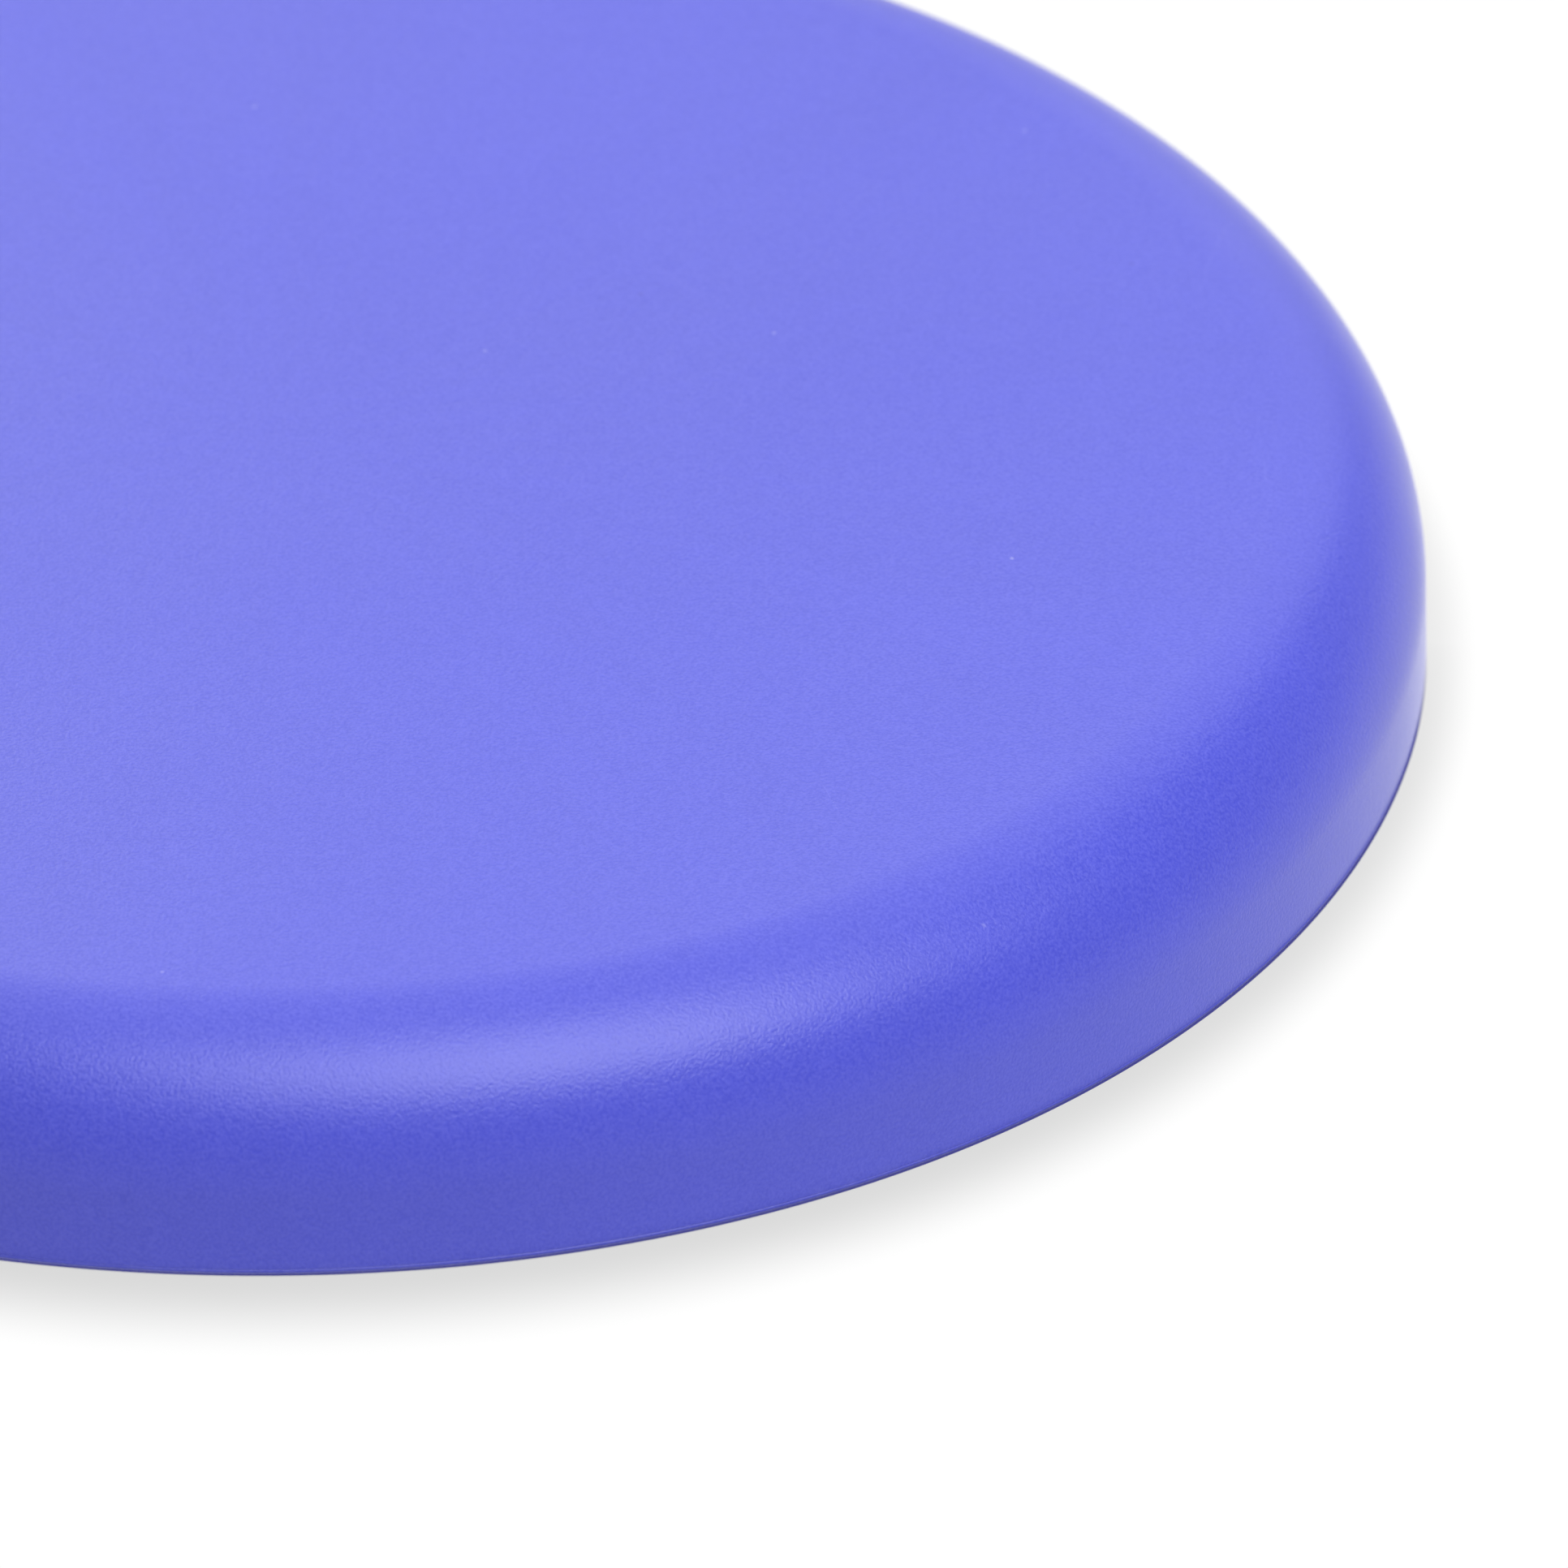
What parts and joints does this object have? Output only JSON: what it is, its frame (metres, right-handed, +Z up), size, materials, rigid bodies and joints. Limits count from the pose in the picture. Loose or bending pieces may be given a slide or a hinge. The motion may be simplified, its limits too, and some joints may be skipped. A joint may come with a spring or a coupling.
{
  "type": "flying disc",
  "caption": "Wide low throwing disc in blue-violet matte plastic: flat smooth plate, large quarter-round shoulder, short straight skirt, hollow underside.",
  "frame": {"origin": "centre of the plane that the rim's foot rests on", "axes": "+Z up along the disc's axis, from the open underside to the flat plate; the disc is round, so +X and +Y are any two directions across it, and +X passes through one ejector mark"},
  "size_m": [0.22, 0.22, 0.022],
  "materials": {
    "disc_plastic": "fine-grained satin matte, through-coloured blue-violet"
  },
  "bodies": {
    "root": {"disc_body": "disc_plastic"}
  },
  "joints": []
}
